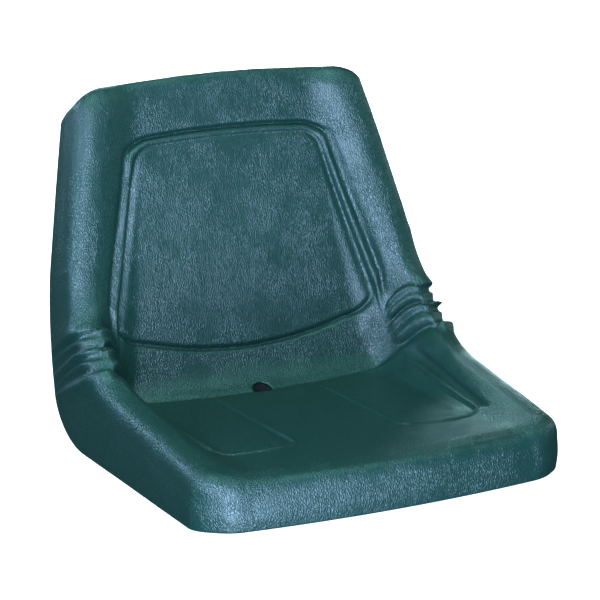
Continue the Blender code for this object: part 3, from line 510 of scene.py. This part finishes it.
def build_skin():
    """The whole moulded cover as one open sheet."""
    top, (around, rings) = skin_surface()
    rows, columns = top.shape[:2]
    count = rows * columns
    points = np.concatenate((top.reshape(-1, 3), rings[1:].reshape(-1, 3)))
    index = np.arange(count).reshape(rows, columns)
    faces = []
    for i in range(rows - 1):
        for j in range(columns - 1):
            faces.append((index[i, j], index[i, j + 1], index[i + 1, j + 1], index[i + 1, j]))
    border = [int(index[i, j]) for i, j in around]
    size = len(border)
    previous = border
    for k in range(len(rings) - 1):
        ring = [count + k * size + m for m in range(size)]
        for m in range(size):
            n = (m + 1) % size
            faces.append((previous[n], previous[m], ring[m], ring[n]))
        previous = ring
    return points, [tuple(int(v) for v in face) for face in faces]


# ---- Mesh helpers --------------------------------------------------------------
def mesh_object(name, points, faces, smooth=True):
    mesh = bpy.data.meshes.new(name)
    mesh.from_pydata([tuple(p) for p in points], [], faces)
    if smooth:
        mesh.shade_smooth()
    obj = bpy.data.objects.new(name, mesh)
    bpy.context.scene.collection.objects.link(obj)
    return obj


def apply_modifiers(obj):
    depsgraph = bpy.context.evaluated_depsgraph_get()
    made = bpy.data.meshes.new_from_object(obj.evaluated_get(depsgraph), depsgraph=depsgraph)
    obj.modifiers.clear()
    obj.data = made
    return obj


def circle(centre, radii, count):
    angles = [2 * math.pi * k / count for k in range(count)]
    return [(centre[0] + radii[0] * math.cos(v), centre[1] + radii[1] * math.sin(v))
            for v in angles]


def upright_prism(name, loop, low, high):
    count = len(loop)
    points = [(x, y, low) for x, y in loop] + [(x, y, high) for x, y in loop]
    faces = [tuple(range(count))[::-1], tuple(range(count, 2 * count))]
    faces += [(k, (k + 1) % count, count + (k + 1) % count, count + k) for k in range(count)]
    return mesh_object(name, points, faces, smooth=False)


def cut_with(obj, cutter):
    modifier = obj.modifiers.new("cut", "BOOLEAN")
    modifier.operation = "DIFFERENCE"
    modifier.solver = "EXACT"
    modifier.object = cutter
    apply_modifiers(obj)
    bpy.data.objects.remove(cutter)


def trim(bm, point, normal):
    """Cut away what lies on the side the normal points to, and close the cut."""
    geometry = bm.verts[:] + bm.edges[:] + bm.faces[:]
    cut = bmesh.ops.bisect_plane(bm, geom=geometry, dist=1e-6, plane_co=point,
                                 plane_no=normal, clear_outer=True)
    rim = [item for item in cut["geom_cut"] if isinstance(item, bmesh.types.BMEdge)]
    bmesh.ops.holes_fill(bm, edges=rim, sides=0)


# ---- Materials -----------------------------------------------------------------
class Shader:
    """A material's node tree, with short ways to add nodes to it."""

    def __init__(self, name, colour, roughness, metallic=0.0):
        self.material = bpy.data.materials.new(name)
        self.material.use_nodes = True
        self.tree = self.material.node_tree
        self.surface = self.tree.nodes["Principled BSDF"]
        self.set("Base Color", (*colour, 1.0))
        self.set("Roughness", roughness)
        self.set("Metallic", metallic)

    def set(self, name, value):
        self.surface.inputs[name].default_value = value

    def add(self, kind, values=(), **settings):
        node = self.tree.nodes.new(kind)
        for key, value in settings.items():
            setattr(node, key, value)
        for key, value in values:
            node.inputs[key].default_value = value
        return node

    def join(self, out, into):
        self.tree.links.new(out, into)

    def maths(self, operation, a, b):
        node = self.add("ShaderNodeMath", operation=operation)
        for i, value in enumerate((a, b)):
            if isinstance(value, (int, float)):
                node.inputs[i].default_value = value
            else:
                self.join(value, node.inputs[i])
        return node.outputs[0]

    def ranged(self, value, low, high, to_low, to_high):
        node = self.add("ShaderNodeMapRange", (("From Min", low), ("From Max", high),
                                               ("To Min", to_low), ("To Max", to_high)))
        self.join(value, node.inputs["Value"])
        return node.outputs["Result"]

    def mixed(self, factor, a, b):
        node = self.add("ShaderNodeMix", data_type="RGBA")
        self.join(factor, node.inputs["Factor"])
        node.inputs["A"].default_value = (*a, 1.0)
        node.inputs["B"].default_value = (*b, 1.0)
        return node.outputs["Result"]

    def bump(self, height, distance, strength):
        node = self.add("ShaderNodeBump", (("Distance", distance), ("Strength", strength)))
        self.join(height, node.inputs["Height"])
        return node.outputs["Normal"]

    def noise(self, vector, scale, detail=3.0, roughness=0.5):
        node = self.add("ShaderNodeTexNoise", (("Scale", scale), ("Detail", detail),
                                               ("Roughness", roughness)))
        self.join(vector, node.inputs["Vector"])
        return node.outputs["Fac"]

    def object_place(self):
        return self.add("ShaderNodeTexCoord").outputs["Object"]

    def stretched(self, vector, factors):
        node = self.add("ShaderNodeVectorMath", operation="MULTIPLY")
        self.join(vector, node.inputs[0])
        node.inputs[1].default_value = factors
        return node.outputs[0]


def vinyl_material():
    """Dark green vinyl with a fine creased leather grain, longer up and down than across."""
    m = Shader("seat_vinyl", (0.004, 0.038, 0.028), 0.40)
    m.set("Specular IOR Level", 0.8)
    place = m.object_place()
    upright = m.stretched(place, (1.0, 0.9, 0.50))
    wander = m.add("ShaderNodeTexNoise", (("Scale", 110.0), ("Detail", 3.0)))
    m.join(upright, wander.inputs["Vector"])
    push = m.add("ShaderNodeVectorMath", operation="SCALE")
    m.join(wander.outputs["Color"], push.inputs[0])
    push.inputs["Scale"].default_value = 0.0040
    bent = m.add("ShaderNodeVectorMath", operation="ADD")
    m.join(upright, bent.inputs[0])
    m.join(push.outputs[0], bent.inputs[1])
    cells = m.add("ShaderNodeTexVoronoi", (("Scale", 380.0), ("Randomness", 1.0)),
                  feature="DISTANCE_TO_EDGE")
    m.join(bent.outputs[0], cells.inputs["Vector"])
    creases = m.ranged(cells.outputs["Distance"], 0.0, 0.22, 0.0, 1.0)
    folds = m.noise(bent.outputs[0], 190.0, 4.0, 0.6)
    patches = m.ranged(m.noise(place, 24.0), 0.35, 0.65, 0.45, 1.0)
    height = m.maths("ADD", m.maths("MULTIPLY", creases, 0.5), folds)
    grain = m.maths("MULTIPLY", height, patches)
    m.join(m.bump(grain, 0.00065, 1.0), m.surface.inputs["Normal"])
    # Painted shade: the colour is darker where the grain lies low, in its creases and folds.
    grain_crease_shade = m.ranged(height, 0.35, 1.2, 0.0, 1.0)
    m.join(m.mixed(grain_crease_shade, (0.0025, 0.025, 0.018), (0.0050, 0.045, 0.033)),
           m.surface.inputs["Base Color"])
    m.join(m.ranged(height, 0.3, 1.2, 0.46, 0.34), m.surface.inputs["Roughness"])
    return m.material


def foam_material():
    """Charcoal moulded polyurethane foam: open cells under a thin skin, painted darker as shade.
    """
    m = Shader("charcoal_foam_and_hole_shade", (0.035, 0.036, 0.038), 0.95)
    m.set("Specular IOR Level", 0.2)
    place = m.object_place()
    cells = m.add("ShaderNodeTexVoronoi", (("Scale", 620.0),))
    m.join(place, cells.inputs["Vector"])
    pits_and_shade = m.ranged(cells.outputs["Distance"], 0.1, 0.7, 0.0, 1.0)
    lumps = m.noise(place, 90.0, 4.0)
    height = m.maths("ADD", m.maths("MULTIPLY", pits_and_shade, 0.7), lumps)
    m.join(m.bump(height, 0.0012, 0.8), m.surface.inputs["Normal"])
    # Painted shade: near black for the drain hole's shade, darker still in the cells' low pits.
    m.join(m.mixed(pits_and_shade, (0.005, 0.006, 0.006), (0.020, 0.022, 0.022)),
           m.surface.inputs["Base Color"])
    return m.material


def painted_steel_material():
    """Black paint over pressed sheet: orange peel, dull patches and a few chips."""
    m = Shader("black_painted_steel", (0.024, 0.024, 0.026), 0.42)
    place = m.object_place()
    peel = m.noise(place, 420.0, 2.0)
    ripple = m.noise(place, 24.0, 3.0)
    m.join(m.bump(m.maths("ADD", m.maths("MULTIPLY", peel, 0.35), ripple), 0.0006, 0.45),
           m.surface.inputs["Normal"])
    m.join(m.ranged(m.noise(place, 37.0, 5.0, 0.6), 0.3, 0.7, 0.34, 0.58),
           m.surface.inputs["Roughness"])
    chips = m.ranged(m.noise(place, 150.0, 4.0), 0.66, 0.72, 0.0, 1.0)
    m.join(m.mixed(chips, (0.022, 0.022, 0.024), (0.070, 0.070, 0.072)),
           m.surface.inputs["Base Color"])
    return m.material


def metal_material(name, dark, light, roughness, scale):
    """A plated or drawn metal with fine lines, clouding and dull patches."""
    m = Shader(name, light, roughness, 1.0)
    place = m.object_place()
    lines = m.noise(m.stretched(place, (0.06, 1.0, 1.0)), scale, 3.0)
    clouds = m.noise(place, 130.0, 5.0, 0.65)
    m.join(m.bump(m.maths("ADD", lines, m.maths("MULTIPLY", clouds, 0.4)), 0.0002, 0.35),
           m.surface.inputs["Normal"])
    m.join(m.mixed(m.ranged(clouds, 0.32, 0.68, 0.0, 1.0), dark, light),
           m.surface.inputs["Base Color"])
    m.join(m.ranged(clouds, 0.3, 0.7, roughness + 0.16, roughness - 0.06),
           m.surface.inputs["Roughness"])
    return m.material


def moulded_material(name, dark, light, roughness, grain, depth):
    """Moulded plastic or rubber with a fine spark-eroded grain."""
    m = Shader(name, light, roughness)
    place = m.object_place()
    fine = m.noise(place, grain, 3.0)
    broad = m.noise(place, 45.0, 4.0)
    m.join(m.bump(fine, depth, 0.5), m.surface.inputs["Normal"])
    m.join(m.mixed(m.ranged(broad, 0.3, 0.7, 0.0, 1.0), dark, light),
           m.surface.inputs["Base Color"])
    m.join(m.ranged(broad, 0.3, 0.7, roughness + 0.08, roughness - 0.06),
           m.surface.inputs["Roughness"])
    return m.material


METALS = {      # CAD slot: name, dark and light colour, roughness, scale of the lines
    "zinc_steel": ("zinc_plate", (0.36, 0.37, 0.38), (0.60, 0.61, 0.62), 0.36, 900),
    "spring_steel": ("spring_wire", (0.16, 0.17, 0.18), (0.34, 0.35, 0.36), 0.34, 1500),
    "bronze": ("sintered_bronze", (0.28, 0.17, 0.06), (0.48, 0.31, 0.13), 0.42, 1200),
    "copper_contact": ("contact_copper", (0.50, 0.26, 0.12), (0.74, 0.44, 0.24), 0.30, 1200),
}
MOULDINGS = {   # CAD slot: name, dark and light grey, roughness, scale and depth of the grain
    "black_plastic": ("black_plastic", (0.014, 0.014, 0.015), (0.026, 0.026, 0.027), 0.50,
                      1400.0, 0.0002),
    "rubber": ("black_rubber", (0.003, 0.003, 0.003), (0.008, 0.008, 0.008), 0.85,
               700.0, 0.0004),
    "white_plastic": ("white_plastic", (0.66, 0.66, 0.63), (0.78, 0.78, 0.75), 0.38,
                      1600.0, 0.0001),
}


def make_materials():
    made = {"vinyl": vinyl_material(), "foam": foam_material(),
            "black_steel": painted_steel_material()}
    made.update((slot, metal_material(*values)) for slot, values in METALS.items())
    made.update((slot, moulded_material(*values)) for slot, values in MOULDINGS.items())
    return made


# ---- The soft pieces -----------------------------------------------------------
def make_skin(finish):
    points, faces = build_skin()
    skin = mesh_object("moulded_cover", points, faces)
    thicken = skin.modifiers.new("sheet", "SOLIDIFY")
    thicken.thickness = SKIN
    thicken.offset = -1.0
    thicken.shell_vertex_group = skin.vertex_groups.new(name="inner_face").name
    apply_modifiers(skin)
    cut_with(skin, upright_prism("drain_cutter", circle(DRAIN, DRAIN_HALF, 32), 0.034, 0.080))
    lighten = skin.modifiers.new("inner_face", "DECIMATE")
    lighten.vertex_group = "inner_face"
    lighten.ratio = INNER_FACE_KEEP
    apply_modifiers(skin)
    skin.vertex_groups.clear()
    skin.data.shade_smooth()
    skin.data.materials.clear()
    skin.data.materials.append(finish)
    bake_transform(skin)
    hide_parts("seat_cover", "back_cover", "bellows_left", "bellows_right", "crease_panel")
    return points, faces


def back_plane(depth):
    """A point on, and the rearward normal of, the plane this deep in front of the rear edge."""
    along = unit(EDGE.end - EDGE.rise)
    rearward = Vector((0.0, along[1], -along[0]))
    return Vector((0.0, *EDGE.rise)) - rearward * depth, rearward


def foam_bmesh(points, faces):
    """Everything inside the skin, closed by a fan to a point that the trims take off."""
    bm = bmesh.new()
    verts = [bm.verts.new(p) for p in points]
    for face in faces:
        bm.faces.new([verts[k] for k in face])
    bm.normal_update()
    for vert in verts:
        vert.co = vert.co - vert.normal * FOAM_CLEAR
    apex = bm.verts.new((0.0, EDGE_TOP[0], -0.1))
    for edge in [e for e in bm.edges if e.is_boundary]:
        bm.faces.new((*edge.verts, apex))
    bmesh.ops.recalc_face_normals(bm, faces=bm.faces)
    return bm


def split_plane(shift, below):
    (y, z), slope = FOAM_SPLIT
    up = Vector((0.0, -slope, 1.0)).normalized()
    return Vector((0.0, y, z)) + up * shift, up if below else -up


def make_foam(name, points, faces, trims, body, node, finish):
    bm = foam_bmesh(points, faces)
    for point, normal in trims:
        trim(bm, point, normal)
    bmesh.ops.recalc_face_normals(bm, faces=bm.faces)
    mesh = bpy.data.meshes.new(name)
    bm.to_mesh(mesh)
    bm.free()
    mesh.shade_smooth()
    mesh.set_sharp_from_angle(angle=math.radians(40))
    mesh.materials.append(finish)
    foam = bpy.data.objects.new(name, mesh)
    bpy.context.scene.collection.objects.link(foam)
    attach(foam, body)
    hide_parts(node)
    return foam


def make_foams(points, faces, finish):
    gap = 0.0004
    seat = make_foam("cushion_foam", points, faces,
                     [(Vector((0, 0, PAN_TOP + gap)), Vector((0, 0, -1))),
                      split_plane(-gap, True), (Vector((0, FOAM_REAR, 0)), Vector((0, 1, 0)))],
                     "base", "seat_foam", finish)
    cut_with(seat, upright_prism("foam_cutter", circle(DRAIN, DRAIN_HALF, 32), 0.0, 0.1))
    plane, rearward = back_plane(PAN_DEPTH + gap)
    back = make_foam("backrest_foam", points, faces,
                     [(plane, rearward), split_plane(gap, False),
                      (Vector((0, 0, BACK_FOAM_START)), Vector((0, 0, -1)))],
                     "backrest", "back_foam", finish)
    for side in (-1, 1):        # room for the springs' upper legs when the back reclines
        low, high = sorted(side * x for x in SPRING_POCKET[0])
        near, far = SPRING_POCKET[1]
        corners = [(low, near), (high, near), (high, far), (low, far)]
        cut_with(back, upright_prism("pocket_cutter", corners, *SPRING_POCKET[2]))


def make_coil(finish):
    """The switch's spring, copied from the CAD spring with the finish it is given."""
    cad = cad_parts["switch_spring"]
    coil = bpy.data.objects.new("switch_coil", cad.data.copy())
    bpy.context.scene.collection.objects.link(coil)
    coil.matrix_world = cad.matrix_world
    coil.data.materials.clear()
    coil.data.materials.append(finish)
    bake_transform(coil)
    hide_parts("switch_spring")


# ---- CAD nodes, camera, floor and light ----------------------------------------
LIGHT_AIM = (0.0, 0.0, 0.2)
LIGHTS = (      # name, place, size, watts, colour
    ("left", (-2.5, -0.2, 0.95), (1.0, 0.8), 44, (0.42, 0.70, 1.0)),
    ("rear_left", (-1.45, 1.9, 1.15), (1.0, 0.6), 24, (0.42, 0.70, 1.0)),
    ("front_left", (-1.2, -2.1, 1.0), (1.2, 1.0), 86, (0.46, 0.67, 1.0)),
    ("low_left", (-0.65, -2.4, -0.5), (1.3, 1.0), 104, (0.44, 0.68, 1.0)),
    ("top", (-0.2, -0.5, 2.7), (1.8, 1.8), 46, (0.42, 1.0, 0.98)),
    ("rear", (1.1, 2.5, -0.2), (2.0, 1.4), 110, (0.60, 0.92, 1.0)),
    ("top_rear", (0.9, 2.3, 1.30), (1.1, 0.7), 22, (0.50, 0.92, 1.0)),
    ("right", (2.6, 0.3, 0.9), (1.1, 1.0), 8, (0.60, 0.95, 1.0)),
)


def dress_cad_nodes(finishes):
    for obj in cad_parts.values():
        for slot in obj.material_slots:
            base = slot.material.name.split(".")[0]
            if base in finishes:
                slot.material = finishes[base]


CAMERA_PLACE = (-1.44099, -2.81532, 1.07397)
CAMERA_ANGLES = (-27.156, 15.549)       # azimuth and elevation it looks from, degrees
CAMERA_LENS, CAMERA_SENSOR = 156.9, 36.0


def make_camera():
    azimuth, elevation = map(math.radians, CAMERA_ANGLES)
    back = Vector((math.sin(azimuth) * math.cos(elevation),
                   -math.cos(azimuth) * math.cos(elevation), math.sin(elevation)))
    data = bpy.data.cameras.new("camera")
    data.sensor_width = CAMERA_SENSOR
    data.lens = CAMERA_LENS
    data.clip_end = 50.0
    camera = bpy.data.objects.new("camera", data)
    camera.location = CAMERA_PLACE
    camera.rotation_mode = "QUATERNION"
    camera.rotation_quaternion = (-back).to_track_quat("-Z", "Y")
    bpy.context.scene.collection.objects.link(camera)
    bpy.context.scene.camera = camera


def area_light(name, place, aim, size, power, colour):
    data = bpy.data.lights.new(name, "AREA")
    data.shape = "RECTANGLE"
    data.size, data.size_y = size
    data.energy = power
    data.color = colour
    lamp = bpy.data.objects.new(name, data)
    lamp.location = place
    lamp.rotation_mode = "QUATERNION"
    lamp.rotation_quaternion = (Vector(aim) - Vector(place)).to_track_quat("-Z", "Y")
    bpy.context.scene.collection.objects.link(lamp)


def make_stage():
    half = 12.0
    floor = mesh_object("studio_floor", [(-half, -half, 0), (half, -half, 0), (half, half, 0),
                                         (-half, half, 0)], [(0, 1, 2, 3)], smooth=False)
    floor.location.z = -0.0005
    paper = Shader("studio_paper", (0.92, 0.92, 0.92), 0.9)
    paper.set("Emission Color", (1.0, 1.0, 1.0, 1.0))
    paper.set("Emission Strength", 1.1)
    paper.join(paper.bump(paper.noise(paper.object_place(), 300.0), 0.0002, 0.1),
               paper.surface.inputs["Normal"])
    floor.data.materials.append(paper.material)
    floor.visible_diffuse = floor.visible_glossy = floor.visible_shadow = False
    world = bpy.data.worlds.new("studio")
    world.use_nodes = True
    sky = world.node_tree.nodes["Background"]
    sky.inputs["Color"].default_value = (0.95, 0.98, 1.0, 1.0)
    sky.inputs["Strength"].default_value = 0.05
    bpy.context.scene.world = world
    for name, place, size, power, colour in LIGHTS:
        area_light(name, place, LIGHT_AIM, size, power, colour)
    bpy.context.scene.view_settings.view_transform = "Standard"


finishes = make_materials()
dress_cad_nodes(finishes)
cover_points, cover_faces = make_skin(finishes["vinyl"])
make_foams(cover_points, cover_faces, finishes["foam"])
make_coil(finishes["spring_steel"])
make_camera()
make_stage()
